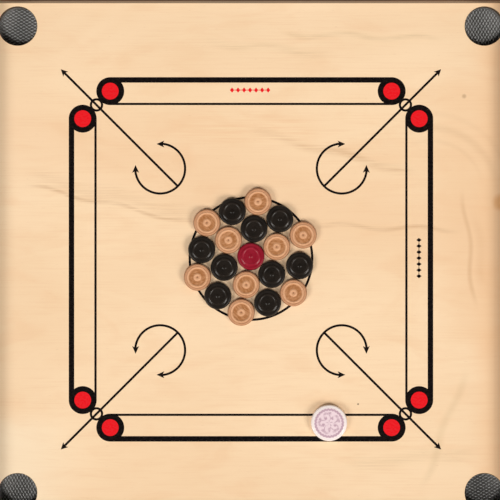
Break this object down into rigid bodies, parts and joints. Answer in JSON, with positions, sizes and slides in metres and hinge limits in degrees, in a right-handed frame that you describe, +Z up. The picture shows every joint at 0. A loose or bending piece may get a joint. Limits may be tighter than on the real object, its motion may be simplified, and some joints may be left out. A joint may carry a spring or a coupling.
{
  "type": "carrom board",
  "caption": "Square wooden carrom board with dark mitred rails, corner pockets with nets, printed lines, and its men, queen and striker set out for a game.",
  "frame": {"origin": "centre of the board's underside, in the plane that the rails rest on", "axes": "+Z up out of the playing surface; +X to the right and +Y away from the player whose base line the striker lies on"},
  "size_m": [0.66, 0.66, 0.05],
  "materials": {
    "rail_wood": "dark walnut stain under satin lacquer, grain along each rail",
    "key_wood": "planed hardwood, unfinished",
    "panel_plywood": "pale birch-faced plywood, sanded very smooth and clear lacquered, with printed lines",
    "batten_wood": "sawn softwood, unfinished",
    "screw_steel": "zinc plated",
    "net_cord": "knitted black nylon cord",
    "band_webbing": "woven black tape",
    "tack_steel": "blued steel",
    "plain_coin_wood": "turned hardwood, waxed",
    "black_coin_lacquer": "turned hardwood, black lacquer, glossy",
    "red_coin_lacquer": "turned hardwood, dark red lacquer, glossy",
    "striker_resin": "polished cream resin with a pale mauve print"
  },
  "bodies": {
    "board": {"rail_right": "rail_wood", "rail_back": "rail_wood", "rail_left": "rail_wood", "rail_front": "rail_wood", "mitre_key_back_right": "key_wood", "mitre_key_back_left": "key_wood", "mitre_key_front_left": "key_wood", "mitre_key_front_right": "key_wood", "playing_panel": "panel_plywood", "batten_front": "batten_wood", "batten_back": "batten_wood", "batten_left": "batten_wood", "batten_right": "batten_wood", "panel_screws": "screw_steel", "batten_screws": "screw_steel", "pocket_net_back_right": "net_cord", "net_band_back_right": "band_webbing", "net_tacks_back_right": "tack_steel", "pocket_net_back_left": "net_cord", "net_band_back_left": "band_webbing", "net_tacks_back_left": "tack_steel", "pocket_net_front_left": "net_cord", "net_band_front_left": "band_webbing", "net_tacks_front_left": "tack_steel", "pocket_net_front_right": "net_cord", "net_band_front_right": "band_webbing", "net_tacks_front_right": "tack_steel"},
    "queen_coin": {"queen_coin": "red_coin_lacquer"},
    "white_coin_1": {"white_coin_1": "plain_coin_wood"},
    "white_coin_2": {"white_coin_2": "plain_coin_wood"},
    "white_coin_3": {"white_coin_3": "plain_coin_wood"},
    "white_coin_4": {"white_coin_4": "plain_coin_wood"},
    "white_coin_5": {"white_coin_5": "plain_coin_wood"},
    "white_coin_6": {"white_coin_6": "plain_coin_wood"},
    "white_coin_7": {"white_coin_7": "plain_coin_wood"},
    "white_coin_8": {"white_coin_8": "plain_coin_wood"},
    "white_coin_9": {"white_coin_9": "plain_coin_wood"},
    "black_coin_1": {"black_coin_1": "black_coin_lacquer"},
    "black_coin_2": {"black_coin_2": "black_coin_lacquer"},
    "black_coin_3": {"black_coin_3": "black_coin_lacquer"},
    "black_coin_4": {"black_coin_4": "black_coin_lacquer"},
    "black_coin_5": {"black_coin_5": "black_coin_lacquer"},
    "black_coin_6": {"black_coin_6": "black_coin_lacquer"},
    "black_coin_7": {"black_coin_7": "black_coin_lacquer"},
    "black_coin_8": {"black_coin_8": "black_coin_lacquer"},
    "black_coin_9": {"black_coin_9": "black_coin_lacquer"},
    "striker": {"striker": "striker_resin"}
  },
  "joints": [
    {"name": "queen_coin_lift", "type": "slide", "parent": "board", "child": "queen_coin", "axis": [0, 0, 1], "range_m": [0, 0.06]},
    {"name": "white_coin_1_lift", "type": "slide", "parent": "board", "child": "white_coin_1", "axis": [0, 0, 1], "range_m": [0, 0.06]},
    {"name": "white_coin_2_lift", "type": "slide", "parent": "board", "child": "white_coin_2", "axis": [0, 0, 1], "range_m": [0, 0.06]},
    {"name": "white_coin_3_lift", "type": "slide", "parent": "board", "child": "white_coin_3", "axis": [0, 0, 1], "range_m": [0, 0.06]},
    {"name": "white_coin_4_lift", "type": "slide", "parent": "board", "child": "white_coin_4", "axis": [0, 0, 1], "range_m": [0, 0.06]},
    {"name": "white_coin_5_lift", "type": "slide", "parent": "board", "child": "white_coin_5", "axis": [0, 0, 1], "range_m": [0, 0.06]},
    {"name": "white_coin_6_lift", "type": "slide", "parent": "board", "child": "white_coin_6", "axis": [0, 0, 1], "range_m": [0, 0.06]},
    {"name": "white_coin_7_lift", "type": "slide", "parent": "board", "child": "white_coin_7", "axis": [0, 0, 1], "range_m": [0, 0.06]},
    {"name": "white_coin_8_lift", "type": "slide", "parent": "board", "child": "white_coin_8", "axis": [0, 0, 1], "range_m": [0, 0.06]},
    {"name": "white_coin_9_lift", "type": "slide", "parent": "board", "child": "white_coin_9", "axis": [0, 0, 1], "range_m": [0, 0.06]},
    {"name": "black_coin_1_lift", "type": "slide", "parent": "board", "child": "black_coin_1", "axis": [0, 0, 1], "range_m": [0, 0.06]},
    {"name": "black_coin_2_lift", "type": "slide", "parent": "board", "child": "black_coin_2", "axis": [0, 0, 1], "range_m": [0, 0.06]},
    {"name": "black_coin_3_lift", "type": "slide", "parent": "board", "child": "black_coin_3", "axis": [0, 0, 1], "range_m": [0, 0.06]},
    {"name": "black_coin_4_lift", "type": "slide", "parent": "board", "child": "black_coin_4", "axis": [0, 0, 1], "range_m": [0, 0.06]},
    {"name": "black_coin_5_lift", "type": "slide", "parent": "board", "child": "black_coin_5", "axis": [0, 0, 1], "range_m": [0, 0.06]},
    {"name": "black_coin_6_lift", "type": "slide", "parent": "board", "child": "black_coin_6", "axis": [0, 0, 1], "range_m": [0, 0.06]},
    {"name": "black_coin_7_lift", "type": "slide", "parent": "board", "child": "black_coin_7", "axis": [0, 0, 1], "range_m": [0, 0.06]},
    {"name": "black_coin_8_lift", "type": "slide", "parent": "board", "child": "black_coin_8", "axis": [0, 0, 1], "range_m": [0, 0.06]},
    {"name": "black_coin_9_lift", "type": "slide", "parent": "board", "child": "black_coin_9", "axis": [0, 0, 1], "range_m": [0, 0.06]},
    {"name": "striker_slide", "type": "slide", "parent": "board", "child": "striker", "axis": [1, 0, 0], "range_m": [-0.2492, 0.0716]}
  ]
}
